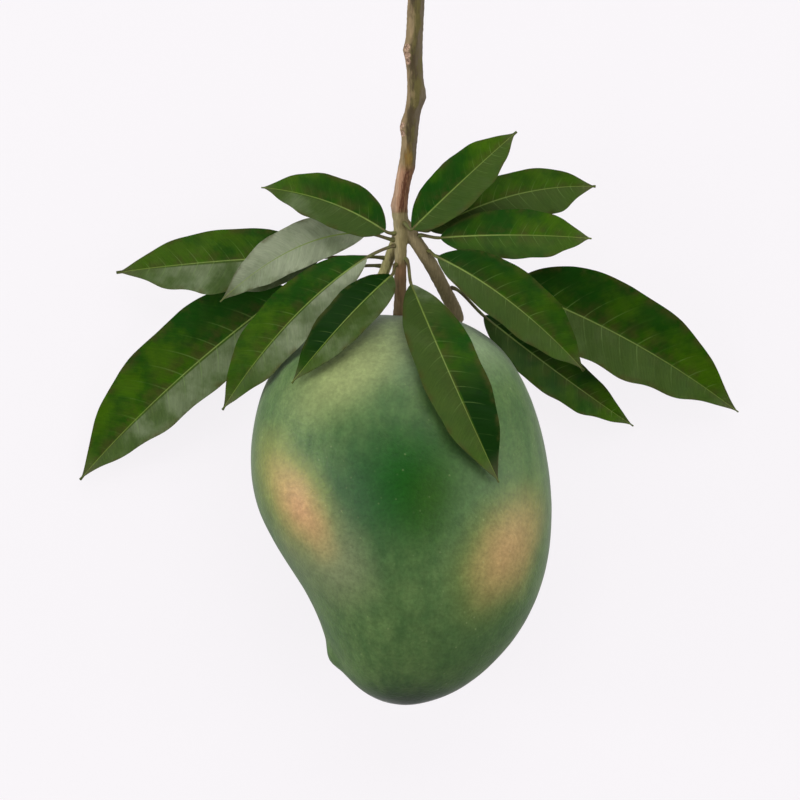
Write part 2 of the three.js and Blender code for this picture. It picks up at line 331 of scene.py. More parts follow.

# %% [markdown]
# ## The fruit's skin
# A green mango is never one green. Deep green lies in the middle of the cheek, olive on the shoulder that
# saw the most sun, a grey wax towards the rim at the stalk end, and two peach blushes with a yellow fringe
# lie on the sides. The grey at the stalk end is partly wax and partly painted sheen and light from the
# stalk's side, the lower right is painted darker as shade, and the tip is painted darker as shade too.
# Each zone but the tip is a soft oval placed on the skin in Object coordinates, with its edge broken up by
# noise.
# Fine streaks along the fruit, pale pores and a little bump go over all of them.

# %% Colour the skin
SKIN_GREEN = colour(93, 120, 68)
SKIN_SHADE = colour(70, 100, 54)
SKIN_DEEP = colour(8, 74, 0)
SKIN_BLUE = colour(36, 76, 40)
SKIN_OLIVE = colour(144, 154, 100)
SKIN_WAX_AND_SHEEN = colour(128, 148, 110)
SKIN_BROWN = colour(38, 74, 0)
SKIN_TIP_SHADE = colour(24, 54, 24)
BLUSH_PEACH = colour(196, 150, 108)
BLUSH_YELLOW = colour(150, 148, 72)
BLUSH_TAIL = colour(130, 136, 100)
PORE_PALE = colour(176, 186, 130)
ZONE_WOBBLE = 6 * MM
WOBBLES_PER_METRE = 60.0
CHEEK_START = 48 * MM
CHEEK_FULL = 66 * MM
TIP_START = -70 * MM
TIP_FULL = -84 * MM
STREAK_SIZE = 6 * MM
PORE_SPACING = 3.6 * MM
MOTTLE_SIZE = 4 * MM
GRAIN_SIZE = 1.3 * MM
SKIN_RELIEF = 0.16 * MM

skin, tree, shader = new_finish("mango_skin", Specular_IOR_Level=0.2, Sheen_Weight=0.3, Sheen_Roughness=0.4)
coords = object_coords(tree)
wobble = add_node(tree, "ShaderNodeTexNoise", {"Vector": coords, "Scale": WOBBLES_PER_METRE, "Detail": 3.0})
centred = add_node(tree, "ShaderNodeVectorMath", operation="SUBTRACT")
tree.links.new(wobble.outputs["Color"], centred.inputs[0])
centred.inputs[1].default_value = (0.5, 0.5, 0.5)
pushed = add_node(tree, "ShaderNodeVectorMath", operation="MULTIPLY_ADD")
tree.links.new(centred.outputs[0], pushed.inputs[0])
pushed.inputs[1].default_value = (ZONE_WOBBLE, ZONE_WOBBLE, ZONE_WOBBLE)
tree.links.new(coords, pushed.inputs[2])
broken_coords = pushed.outputs[0]
depth = add_node(tree, "ShaderNodeSeparateXYZ", {"Vector": coords})
upper = ramped(tree, depth.outputs["Z"], CHEEK_START, CHEEK_FULL)


def skin_zone(x, y, half_width, half_length, turn, core=0.2):
    """1 in the core of an oval on the upper cheek and 0 outside it: mm, and degrees from the Y axis."""
    place = add_node(tree, "ShaderNodeMapping", {"Vector": broken_coords}, vector_type="TEXTURE")
    place.inputs["Location"].default_value = (x * MM, y * MM, 0)
    place.inputs["Rotation"].default_value = (0, 0, math.radians(turn))
    place.inputs["Scale"].default_value = (half_width * MM, half_length * MM, 100)
    reach = add_node(tree, "ShaderNodeVectorMath", operation="LENGTH")
    tree.links.new(place.outputs[0], reach.inputs[0])
    return maths(tree, "MULTIPLY", ramped(tree, reach.outputs["Value"], 1, core), upper)


def layer(under, over, share, strength=1.0):
    return mixed(tree, maths(tree, "MULTIPLY", share, strength), under, over)


streaks = cloudy(tree, stretched(tree, coords, (1, 0.3, 1)), STREAK_SIZE, 6, 0.65)
tint = mixed(tree, ramped(tree, streaks, 0.3, 0.7), SKIN_SHADE, SKIN_GREEN)
# Grey wax on the stalk end, partly painted sheen and light from the big light on the stalk's side.
tint = layer(tint, SKIN_WAX_AND_SHEEN, skin_zone(14, 66, 60, 32, 0, 0.3))
tint = layer(tint, SKIN_OLIVE, skin_zone(-21, 46, 19, 40, -50, 0.1), 0.85)
tint = layer(tint, SKIN_SHADE, skin_zone(24, 0, 26, 44, 0, 0.2), 0.7)
tint = layer(tint, SKIN_BLUE, skin_zone(-12, 1, 34, 40, 0, 0.1), 0.85)
tint = layer(tint, SKIN_DEEP, skin_zone(2, 6, 26, 40, 0, 0.0))
tint = layer(tint, SKIN_BROWN, skin_zone(10, -2, 15, 24, 0, 0.0), 0.7)
# Painted shade: the lower right of the cheek is darkened, away from the stronger left light.
tint = layer(tint, SKIN_SHADE, skin_zone(32, -60, 34, 34, 0, 0.2), 0.7)
# Painted shade: the tip is darkened, as little light reaches under it.
tint = layer(tint, SKIN_TIP_SHADE, ramped(tree, depth.outputs["Y"], TIP_START, TIP_FULL))
tint = layer(tint, BLUSH_TAIL, skin_zone(-31, -21, 20, 36, 38, 0.1), 0.8)
tint = layer(tint, BLUSH_YELLOW, skin_zone(-42, -1, 17, 36, 28, 0.1), 0.85)
tint = layer(tint, BLUSH_PEACH, skin_zone(-39, -6, 11, 26, 30, 0.0), 0.86)
tint = layer(tint, BLUSH_YELLOW, skin_zone(36, -22, 20, 38, -27, 0.1), 0.6)
tint = layer(tint, BLUSH_PEACH, skin_zone(38, -22, 16, 31, -24, 0.0), 0.62)
pores = add_node(tree, "ShaderNodeTexVoronoi", {"Vector": coords, "Scale": 1 / PORE_SPACING})
dots = ramped(tree, pores.outputs["Distance"], 0.16, 0.05)
pore = maths(tree, "MULTIPLY", dots, ramped(tree, streaks, 0.4, 0.65))
tint = layer(tint, PORE_PALE, pore, 0.2)
mottle = cloudy(tree, coords, MOTTLE_SIZE, 3)
grain = cloudy(tree, coords, GRAIN_SIZE, 3)
tint = mixed(tree, 0.3, tint, mottle, "OVERLAY")
tint = mixed(tree, 0.35, tint, grain, "OVERLAY")
tree.links.new(tint, shader.inputs["Base Color"])
tree.links.new(ramped(tree, grain, 0, 1, 0.36, 0.52), shader.inputs["Roughness"])
add_bump(tree, shader, maths(tree, "ADD", grain, maths(tree, "MULTIPLY", pore, 0.5)), SKIN_RELIEF)

fruit.data.materials.append(skin)
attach(fruit, "root")
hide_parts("fruit")
print("skin nodes:", len(tree.nodes))

# %% [markdown]
# ## The twig's shape
# The solid twig has twelve flat sides and sharp seams where the side stalks join. A copy of it is
# remeshed into small even faces and relaxed, so that the forks flow into each other as wood does. The foot
# of the stalk is drawn a little way into the fruit. The scars that fallen leaves left on the knuckles are
# worked with proportional editing too: a wide pull raises the rim, and a narrow push hollows its middle.

# %% Shape the twig
FORK = Vector((-1.6, 101.4, 48.3)) * MM
STALK_FOOT_END = 67.4 * MM
STALK_FOOT_LENGTH = 3 * MM
STALK_FOOT_PUSH = 2.2 * MM
TWIG_VOXEL = 0.45 * MM
RIDGE_SIZE = 1.6 * MM
RIDGE_HEIGHT = 0.35 * MM

twig = merged_copy("twig", "mango_twig")
remesh = twig.modifiers.new("even_faces", "REMESH")
remesh.mode = "VOXEL"
remesh.voxel_size = TWIG_VOXEL
relax = twig.modifiers.new("relax", "SMOOTH")
relax.factor = 0.5
relax.iterations = 4
apply_modifiers(twig)
for vertex in twig.data.vertices:
    into_fruit = max(0, 1 - (vertex.co.y - STALK_FOOT_END) / STALK_FOOT_LENGTH)
    vertex.co.y -= STALK_FOOT_PUSH * min(1, into_fruit)
ridge_noise = bpy.data.textures.new("bark_ridges", "CLOUDS")
ridge_noise.noise_scale = RIDGE_SIZE
ridge = twig.modifiers.new("bark_ridges", "DISPLACE")
ridge.texture = ridge_noise
ridge.texture_coords = "LOCAL"
ridge.strength = RIDGE_HEIGHT
apply_modifiers(twig)

# Points just above the scars, in mm, and how far the rim reaches there.
SCARS = (
    ((0.5, 168.5, 57), 2.8),
    ((0.4, 165.5, 57), 2.8),
    ((0.3, 163, 57), 2.4),
    ((-1.2, 139, 54), 2.5),
    ((-1.2, 136, 54), 2.5),
)
RIM_RISE = 0.6
HOLLOW_PUSH = 1.0
twig_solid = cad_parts["twig"].data
twig_points = [vertex.co for vertex in twig_solid.vertices]
twig_tree = BVHTree.FromPolygons(twig_points, [face.vertices for face in twig_solid.polygons])
scar_middles = []
for place, reach in SCARS:
    middle, outward, index, gap = twig_tree.find_nearest(Vector(place) * MM)
    draw_out(twig, middle, outward * RIM_RISE * MM, reach * MM)
    draw_out(twig, middle, outward * -HOLLOW_PUSH * MM, reach * MM / 2)
    scar_middles.append((middle, reach * MM))
bpy.ops.object.shade_smooth()
print("twig", len(twig.data.polygons), "faces")

# %% [markdown]
# ## The bark
# Young mango bark is olive, and tan on its left side: partly dry bark, partly painted light from the left.
# The last shoot starts with a reddish stretch with a painted highlight along its left edge, and below the
# fork the stalks are smoother, with a painted highlight on their left side, and the side stalks are khaki
# and grey, painted lighter too, as painted light against the shade that falls on them. Nodes can't tell how
# far a point lies from the twig's bent middle, so each point is given that as an attribute, with another
# one for the scars. The three cut ends show pale wood, which darkens from the pith to the rim.

# %% Mark the bark's sides, scars and cuts
# The twig's middle line as x at y, in mm, and the cut ends with the way each one faces.
TWIG_MIDDLE = (
    (-1.7, 67), (-1.6, 101), (-1.8, 109), (-0.8, 117), (1.2, 128),
    (2.4, 140), (3.9, 151), (3.5, 167), (4.3, 189),
)
CUTS = (
    (Vector((4.3, 188.4, 55)) * MM, Vector((0, 1, 0))),
    (FORK + Vector((22, -34.6, -11.5)) * MM, Vector((4.5, -8.6, -4.5)).normalized()),
    (FORK + Vector((-7.5, -20.5, -11.5)) * MM, Vector((-2.5, -6.5, -3.5)).normalized()),
)
TWIG_RADIUS = 3 * MM
CUT_DEPTH = 1 * MM
CUT_REACH = 1.3 * TWIG_RADIUS
CUT_FACING = 0.6
SCAR_SHARE = 0.6


def write_attribute(mesh, name, values):
    mesh.attributes.new(name, "FLOAT", "POINT").data.foreach_set("value", values)


def middle_at(y):
    for (x0, y0), (x1, y1) in zip(TWIG_MIDDLE, TWIG_MIDDLE[1:]):
        if y <= y1 * MM:
            break
    return (x0 + (x1 - x0) * (y / MM - y0) / (y1 - y0)) * MM


def scar_share(place):
    """1 in the middle of a scar, falling softly to 0 round it."""
    gaps = [(place - middle).length / (SCAR_SHARE * reach) for middle, reach in scar_middles]
    return math.exp(-(min(gaps) ** 2))


points = [vertex.co.copy() for vertex in twig.data.vertices]
write_attribute(twig.data, "side", [(p.x - middle_at(p.y)) / TWIG_RADIUS for p in points])
write_attribute(twig.data, "scar", [scar_share(p) for p in points])
write_attribute(twig.data, "pith", [min((p - end).length for end, way in CUTS) / TWIG_RADIUS for p in points])
cut_faces = 0
for face in twig.data.polygons:
    for end, way in CUTS:
        if (face.center - end).length < CUT_REACH and (face.center - end).dot(way) > -CUT_DEPTH:
            if face.normal.dot(way) > CUT_FACING:
                face.material_index = 1
                cut_faces += 1
print("cut ends:", cut_faces, "faces")

# %% Colour the bark
BARK_OLIVE = colour(92, 84, 40)
BARK_BROWN = colour(64, 52, 28)
BARK_TAN_AND_LIGHT = colour(138, 118, 86)
BARK_GREY = colour(100, 88, 70)
BARK_OCHRE = colour(146, 108, 42)
BARK_RED = colour(86, 48, 26)
BARK_PINK = colour(170, 130, 100)
BARK_RUSSET = colour(122, 86, 58)
SHOOT_HIGHLIGHT = colour(200, 168, 140)
SCAR_CRACK = colour(84, 56, 42)
SCAR_TAN = colour(178, 148, 124)
STALK_HIGHLIGHT = colour(158, 146, 106)
STALK_OLIVE = colour(122, 110, 72)
STALK_GREY_LIT = colour(130, 116, 84)
STALK_KHAKI_LIT = colour(196, 188, 128)
STALK_RUST = colour(96, 72, 44)
WOOD_PALE = colour(196, 172, 122)
WOOD_PITH = colour(150, 118, 76)
FIBRE_SIZE = 0.7 * MM
PATCH_SIZE = 3 * MM
CRACK_SPACING = 1.4 * MM
BARK_RELIEF = 0.35 * MM
CUT_RELIEF = 0.2 * MM

# Heights along Y where the bark changes.
OCHRE_START, OCHRE_END = 123 * MM, 131 * MM
SHOOT_START, SHOOT_END = 106 * MM, 123 * MM
STALK_TOP, STALK_FULL = 106.4 * MM, 105.4 * MM
RUSSET_TOP, RUSSET_FULL = 89 * MM, 84 * MM
RUST_FULL = 78 * MM


def read_attribute(tree, name):
    return add_node(tree, "ShaderNodeAttribute", attribute_name=name).outputs["Fac"]


def between(tree, value, start, end, soft):
    """1 from start to end and 0 beyond, with soft borders."""
    rise = ramped(tree, value, start - soft, start + soft)
    return maths(tree, "MULTIPLY", rise, ramped(tree, value, end + soft, end - soft))


bark, tree, shader = new_finish("mango_bark", Roughness=0.7, Specular_IOR_Level=0.3)
coords = object_coords(tree)
depth = add_node(tree, "ShaderNodeSeparateXYZ", {"Vector": coords})
fibres = cloudy(tree, stretched(tree, coords, (1, 0.12, 1)), FIBRE_SIZE, 5, 0.65)
patches = cloudy(tree, stretched(tree, coords, (1, 0.3, 1)), PATCH_SIZE, 4)
height = depth.outputs["Y"]
side = maths(tree, "ADD", read_attribute(tree, "side"), ramped(tree, patches, 0.3, 0.7, -0.4, 0.4))
tint = mixed(tree, ramped(tree, maths(tree, "MULTIPLY", fibres, patches), 0.2, 0.32), BARK_OLIVE, BARK_BROWN)
tint = mixed(tree, ramped(tree, side, 0.3, 0.9, 0, 0.8), tint, BARK_GREY)
# Tan on the left side: partly dry bark, partly painted light from the left.
tint = mixed(tree, ramped(tree, side, -0.1, -0.7, 0, 0.9), tint, BARK_TAN_AND_LIGHT)
ochre_band = between(tree, height, OCHRE_START, OCHRE_END, 3 * MM)
ochre = maths(tree, "MULTIPLY", ochre_band, between(tree, side, -0.3, 0.3, 0.3))
tint = mixed(tree, maths(tree, "MULTIPLY", ochre, 0.5), tint, BARK_OCHRE)
shoot_tint = mixed(tree, ramped(tree, side, -0.3, 0.7), BARK_PINK, BARK_RUSSET)
# Painted highlight along the shoot's left edge.
shoot_tint = mixed(tree, ramped(tree, side, -0.4, -0.9, 0, 0.7), shoot_tint, SHOOT_HIGHLIGHT)
split = maths(tree, "ADD", read_attribute(tree, "side"), ramped(tree, fibres, 0.3, 0.7, -0.3, 0.3))
shoot_tint = mixed(tree, between(tree, split, -0.05, 0.5, 0.25), shoot_tint, BARK_RED)
tint = mixed(tree, between(tree, height, SHOOT_START, SHOOT_END, 2.5 * MM), tint, shoot_tint)
# Painted highlight on the stalk's left side.
stalk_tint = mixed(tree, ramped(tree, side, -0.7, 0.0), STALK_HIGHLIGHT, STALK_OLIVE)
# Painted light: the side stalks on the right and far left are made lighter, partly their own grey and khaki,
# against the shade on them.
stalk_tint = mixed(tree, ramped(tree, side, 0.7, 1.2), stalk_tint, STALK_GREY_LIT)
stalk_tint = mixed(tree, ramped(tree, side, -1.0, -1.5), stalk_tint, STALK_KHAKI_LIT)
tint = mixed(tree, ramped(tree, height, STALK_TOP, STALK_FULL, 0, 0.95), tint, stalk_tint)
low_down = ramped(tree, height, RUSSET_TOP, RUSSET_FULL)
on_stalk = maths(tree, "MULTIPLY", low_down, between(tree, side, -1.2, 1.2, 0.2))
low_tint = mixed(tree, ramped(tree, height, RUSSET_FULL, RUST_FULL), BARK_RUSSET, STALK_RUST)
tint = mixed(tree, maths(tree, "MULTIPLY", on_stalk, 0.8), tint, low_tint)
scar = read_attribute(tree, "scar")
cracks = add_node(tree, "ShaderNodeTexVoronoi", feature="DISTANCE_TO_EDGE")
cracks.inputs["Scale"].default_value = 1 / CRACK_SPACING
tree.links.new(coords, cracks.inputs["Vector"])
crack = ramped(tree, cracks.outputs["Distance"], 0.12, 0.02, 0, 0.8)
tint = mixed(tree, ramped(tree, scar, 0.3, 0.6, 0, 0.95), tint, mixed(tree, crack, SCAR_TAN, SCAR_CRACK))
tint = mixed(tree, 0.65, tint, fibres, "OVERLAY")
tree.links.new(tint, shader.inputs["Base Color"])
add_bump(tree, shader, maths(tree, "ADD", fibres, patches), BARK_RELIEF)

cut_wood, tree, shader = new_finish("cut_wood", Roughness=0.8, Specular_IOR_Level=0.2)
pith = read_attribute(tree, "pith")
rings = maths(tree, "ADD", pith, cloudy(tree, object_coords(tree), 1.5 * MM, 3))
tint = mixed(tree, ramped(tree, rings, 0.6, 0.9), WOOD_PITH, WOOD_PALE)
tint = mixed(tree, ramped(tree, pith, 0.75, 1.0), tint, BARK_BROWN)
tree.links.new(tint, shader.inputs["Base Color"])
add_bump(tree, shader, cloudy(tree, object_coords(tree), 0.5 * MM, 3), CUT_RELIEF)

for finish in (bark, cut_wood):
    twig.data.materials.append(finish)
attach(twig, "root")
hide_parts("twig")

# %% [markdown]
# ## The leaves' shape
# A mango leaf is a leathery blade folded a little along its midrib, with waved edges and a long tip. Each
# starts as a flat grid, one side of which runs along the leaf and the other across it, so every point
# knows how far along and across it lies. The points are then moved onto the leaf's curve by the same rule
# as the solid leaf's, a Displace modifier makes them a little uneven, and a Solidify modifier gives the
# blade its thickness. Two vertex groups guide them: the midrib stays straight, and the edges stay thin.
# Petiole and midrib are one tapering tube, drawn as a curve from inside the twig to the leaf's tip.

# %% List the leaves
# Name, then heel, middle and tip of the midrib from the fork, the widths of the left and right half, where
# along it the leaf is widest, and its roll in degrees.
LEAVES = (
    ("leaf_01", (-6, -2.5, 5), (-28, 8.5, 10), (-53, 14, 6), (9, 10), 0.34, 8),
    ("leaf_02", (-31, -12, -10), (-69, -13, -22), (-111, -17, -40), (12.2, 12.2), 0.37, -6),
    ("leaf_03", (-13, -3.2, 1), (-40.5, -9, -1.5), (-69.5, -29, -14), (8.7, 8.7), 0.42, 10),
    ("leaf_04", (-43, -24, -26), (-88, -60, -34), (-125.5, -98, -43), (13, 19), 0.33, 6),
    ("leaf_05", (-13, -12.7, 7), (-42, -37, 13), (-68, -70.5, 0), (9.8, 11.2), 0.48, 10),
    ("leaf_06", (-3.5, -19.5, 8), (-21, -37, 24), (-41, -60.5, 27), (9.4, 8.4), 0.38, 20),
    ("leaf_07", (4, -23, 9), (19, -59, 38), (36.5, -97.5, 39), (12.2, 11.8), 0.44, -15),
    ("leaf_08", (4.4, -1.8, 5), (23.5, 16.5, 9), (44, 35, 10), (9.4, 9.4), 0.42, -8),
    ("leaf_09", (11, -2, -2), (42.5, 11.5, -7), (75, 15.5, -16), (8.8, 11.6), 0.48, 5),
    ("leaf_10", (15, -5, 3), (43.5, -4, 3), (73, -5, -5), (9.6, 9.4), 0.46, -8),
    ("leaf_11", (14, -12.5, 7), (42, -30, 10), (70, -55.5, -4), (12.2, 9.4), 0.46, -10),
    ("leaf_12", (42, -23.5, -12), (88, -43.5, -25), (132, -71.5, -42), (19, 14.4), 0.31, 6),
    ("leaf_13", (32, -34.5, -13), (62, -57, -30), (91, -77, -43), (8.4, 9.6), 0.34, -5),
)
# How much light is painted on each leaf's left half at its heel and its tip, and then its right half: from
# -1, painted shade, over 0, plain green, and 0.4, a dull green as painted light, to 1, grey as a painted
# reflection.
PAINTED_HALF_LIGHT = {
    "leaf_01": ((0.35, 0.6), (-0.1, 0.2)),
    "leaf_02": ((0.55, 0.6), (0.0, 0.2)),
    "leaf_03": ((0.9, 0.95), (0.85, 1.1)),
    "leaf_04": ((0.55, 0.6), (-0.2, 0.1)),
    "leaf_05": ((1.0, 0.35), (-0.1, 0.2)),
    "leaf_06": ((0.45, 0.6), (-0.9, -0.7)),
    "leaf_07": ((0.75, -1.6), (0.45, 0.3)),
    "leaf_08": ((-0.1, 0.1), (0.35, 0.35)),
    "leaf_09": ((0.0, 0.15), (0.35, 0.4)),
    "leaf_10": ((-0.2, 0.1), (0.1, 0.3)),
    "leaf_11": ((-0.5, -0.1), (0.5, 0.3)),
    "leaf_12": ((-0.4, 0.1), (0.45, 0.35)),
    "leaf_13": ((-0.5, -0.1), (0.3, 0.0)),
}
BLADE_THICKNESS = 0.6
HEEL_FULLNESS = 0.7
TIP_FULLNESS = 3.2
TIP_TAPER = 1.5
TIP_HALF_WIDTH = 0.2
BLADE_START = 0.15
BLADE_FOLD = math.radians(13)
WAVES = 4
WAVE_HEIGHT = 1.3
EDGE_RIPPLE = 0.06
CALM_SHARE = 0.3
HEEL_HEIGHT = 0.4
HEEL_PACE = 0.6
PHASE_STEP = 2.4
EDGE_PHASE = 1.7
BLADE_STEPS = 96
BLADE_COLUMNS = 24
SIDE_VEINS = 13
VEIN_LEAN = 0.42
VEIN_BEND = 0.3
VEIN_PUFF = 0.16
print(len(LEAVES), "leaves")

# %% Define the leaf's rule
def smooth_share(value, end):
    share = min(1, max(0, value / end))
    return share * share * (3 - 2 * share)


def blade_shape(t, widest):
    if t < widest:
        return (1 - ((widest - t) / widest) ** 2) ** HEEL_FULLNESS
    return (1 - ((t - widest) / (1 - widest)) ** TIP_FULLNESS) ** TIP_TAPER


class Leaf:
    """One leaf's midrib and the place of each point of its blade, in mm."""

    def __init__(self, number, heel, middle, tip, halves, widest, roll):
        self.heel = FORK / MM + Vector(heel)
        self.tip = FORK / MM + Vector(tip)
        self.bow = 2 * (FORK / MM + Vector(middle)) - (self.heel + self.tip) / 2
        self.halves = halves
        self.widest = widest
        self.roll = math.radians(roll)
        self.phase = number * PHASE_STEP
        self.vein_gap = (self.tip - self.heel).length / SIDE_VEINS

    def midrib(self, t):
        return self.heel * (1 - t) ** 2 + self.bow * 2 * t * (1 - t) + self.tip * t * t

    def along(self, t):
        return ((self.bow - self.heel) * (1 - t) + (self.tip - self.bow) * t).normalized()

    def across(self, t):
        right = self.along(t).cross(Vector((0, 0, 1))).normalized()
        return Matrix.Rotation(self.roll, 3, self.along(t)) @ right

    def above(self, t):
        return self.across(t).cross(self.along(t))

    def shape(self, t):
        return blade_shape(t, self.widest)

    def wave(self, t, s):
        """The edge that hangs lower waves more, and both wave more towards the tip."""
        calm = 1 if self.across(t).y * s < 0 else CALM_SHARE
        pace = HEEL_PACE + (1 - HEEL_PACE) * t
        turn = 2 * math.pi * WAVES * t * pace + self.phase + (EDGE_PHASE if s > 0 else 0)
        return calm * (HEEL_HEIGHT + (1 - HEEL_HEIGHT) * t) * math.sin(turn) * s * s

    def half_width(self, t, s):
        half = self.halves[0 if s < 0 else 1]
        return max(TIP_HALF_WIDTH, half * self.shape(t) * (1 + EDGE_RIPPLE * self.wave(t, s)))

    def vein(self, t, s):
        """Counts the side veins passed: whole numbers lie on a vein."""
        half = self.half_width(t, s)
        ahead = half * (abs(s) * VEIN_LEAN + s * s * VEIN_BEND)
        return t * SIDE_VEINS - ahead / self.vein_gap

    def point(self, t, s):
        half = self.half_width(t, s)
        fold = half * abs(s) * math.tan(BLADE_FOLD)
        puff = VEIN_PUFF * (0.5 - 0.5 * math.cos(2 * math.pi * self.vein(t, s))) * min(1, 4 * abs(s))
        rise = fold + (WAVE_HEIGHT * self.wave(t, s) + puff) * self.shape(t)
        lift = BLADE_THICKNESS / 2 + smooth_share(t, BLADE_START) * rise
        return self.midrib(t) + self.across(t) * half * s + self.above(t) * lift


# %% Find where the petioles stand
FOOT_GAP = 0.8 * MM


def petiole_root(node):
    """The middle of the solid petiole's foot, in mm, and the way it leaves the twig."""
    foot = []
    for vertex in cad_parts[node].data.vertices:
        place, normal, index, gap = twig_tree.find_nearest(vertex.co)
        if gap < FOOT_GAP:
            foot.append((vertex.co, place))
    root = sum((point for point, place in foot), Vector()) / len(foot)
    wood = sum((place for point, place in foot), Vector()) / len(foot)
    return root / MM, (root - wood).normalized()


# %% [markdown]
# ## The leaves' finish
# A leaf is darkest at its heel and yellower towards its tip, and browner along its midrib and at its edges.
# One half is often painted dull or grey, as painted light and a painted reflection where that half faces the
# light, and some halves are painted darker as shade. Fine lines run out along the side veins. All of this
# follows the blade, so the nodes read the grid's own numbers, which are kept as attributes: how far along
# and across a point lies, how far it is from the midrib, how many veins lie before it, and how much light
# or shade is painted on it.

# %% Define the leaf's finishes
LEAF_PAINTED_SHADE = colour(12, 44, 2)
LEAF_DEEP = colour(22, 64, 6)
LEAF_BRIGHT = colour(58, 92, 4)
LEAF_PAINTED_LIT = colour(60, 78, 32)
LEAF_BROWN = colour(66, 64, 28)
LEAF_TIP = colour(84, 80, 58)
LEAF_PAINTED_REFLECTION = colour(138, 146, 120)
LEAF_VEIN = colour(108, 136, 70)
LEAF_BACK = colour(96, 118, 66)
RIB_PALE = colour(112, 132, 56)
PETIOLE_BROWN = colour(86, 74, 46)
PETIOLE_GREEN = colour(96, 100, 50)
PAINTED_LIT_FULL = 0.4
LUMP_SIZE = 12 * MM
BLOTCH_SIZE = 5 * MM
FEATHER_SIZE = 0.09
LEAF_RELIEF = 0.06 * MM
RIB_RELIEF = 0.1 * MM


def leaf_finish(name, back):
    finish, tree, shader = new_finish(name, Specular_IOR_Level=0.06)
    coords = object_coords(tree)
    along, across, vein, painted_light = (read_attribute(tree, n) for n in ("along", "across", "vein", "painted_light"))
    side = maths(tree, "ABSOLUTE", across)
    lumps = cloudy(tree, coords, LUMP_SIZE, 4)
    blotch = cloudy(tree, coords, BLOTCH_SIZE, 4)
    ribbon = add_node(tree, "ShaderNodeCombineXYZ", {"X": vein, "Y": across, "Z": lumps}).outputs[0]
    feather = cloudy(tree, stretched(tree, ribbon, (1, 0.15, 1)), FEATHER_SIZE, 3, 0.5)
    age = maths(tree, "ADD", along, ramped(tree, lumps, 0.25, 0.75, -0.45, 0.45))
    tint = mixed(tree, ramped(tree, age, 0.1, 1.0), LEAF_DEEP, LEAF_BRIGHT)
    by_rib = maths(tree, "MULTIPLY", ramped(tree, side, 0.6, 0.0, 0.1, 0.7), ramped(tree, blotch, 0.35, 0.65))
    tint = mixed(tree, by_rib, tint, LEAF_BROWN)
    if back:
        tint = mixed(tree, 0.7, tint, LEAF_BACK)
    else:
        # Painted light and shade on each half: below 0 painted shade, up to 0.4 a dull green as painted
        # light, up to 1 grey as a painted reflection.
        half_light = maths(tree, "MULTIPLY", painted_light, ramped(tree, along, 0.7, 1.0, 1.0, 0.6))
        patchy_light = maths(tree, "MULTIPLY", half_light, ramped(tree, lumps, 0.3, 0.7, 0.8, 1.15))
        tint = mixed(tree, ramped(tree, patchy_light, 0, -0.8), tint, LEAF_PAINTED_SHADE)
        tint = mixed(tree, ramped(tree, patchy_light, 0, PAINTED_LIT_FULL, 0, 0.85), tint, LEAF_PAINTED_LIT)
        tint = mixed(tree, ramped(tree, patchy_light, PAINTED_LIT_FULL, 1), tint, LEAF_PAINTED_REFLECTION)
    tint = mixed(tree, 0.3, tint, feather, "OVERLAY")
    off_vein = maths(tree, "ABSOLUTE", maths(tree, "SUBTRACT", vein, maths(tree, "ROUND", vein)))
    line = maths(tree, "MULTIPLY", ramped(tree, off_vein, 0.045, 0.01), ramped(tree, side, 0.8, 0.1))
    faint = maths(tree, "MULTIPLY", line, ramped(tree, lumps, 0.4, 0.6, 0.2, 1.0))
    tint = mixed(tree, maths(tree, "MULTIPLY", faint, 0.35), tint, LEAF_VEIN)
    edge = maths(tree, "MULTIPLY", ramped(tree, side, 0.75, 1.0), ramped(tree, blotch, 0.4, 0.65, 0.0, 0.7))
    tint = mixed(tree, edge, tint, LEAF_BROWN)
    tint = mixed(tree, ramped(tree, along, 0.86, 1.0, 0, 0.7), tint, LEAF_TIP)
    rib_half = ramped(tree, along, 0.0, 1.0, 0.5, 0.15)
    rib_line = ramped(tree, read_attribute(tree, "off_rib"), rib_half, 0.0, 0.0, 0.9)
    tint = mixed(tree, rib_line, tint, RIB_PALE)
    tree.links.new(tint, shader.inputs["Base Color"])
    tree.links.new(ramped(tree, feather, 0, 1, 0.42, 0.62), shader.inputs["Roughness"])
    relief = maths(tree, "ADD", maths(tree, "MULTIPLY", faint, 0.8), feather)
    add_bump(tree, shader, relief, LEAF_RELIEF)
    return finish


def rib_finish():
    finish, tree, shader = new_finish("leaf_rib", Roughness=0.5, Specular_IOR_Level=0.3)
    streak = cloudy(tree, object_coords(tree), 3 * MM, 3)
    along = read_attribute(tree, "along")
    tint = mixed(tree, ramped(tree, streak, 0.4, 0.7, 0, 0.4), RIB_PALE, LEAF_BRIGHT)
    tint = mixed(tree, ramped(tree, along, 0.6, 0.95, 0, 0.6), tint, LEAF_BRIGHT)
    petiole = mixed(tree, ramped(tree, streak, 0.35, 0.65), PETIOLE_BROWN, PETIOLE_GREEN)
    tint = mixed(tree, ramped(tree, along, 0.0, 0.1), petiole, tint)
    tree.links.new(tint, shader.inputs["Base Color"])
    add_bump(tree, shader, streak, RIB_RELIEF)
    return finish


leaf_face = leaf_finish("leaf_face", False)
leaf_back = leaf_finish("leaf_back", True)
leaf_rib = rib_finish()

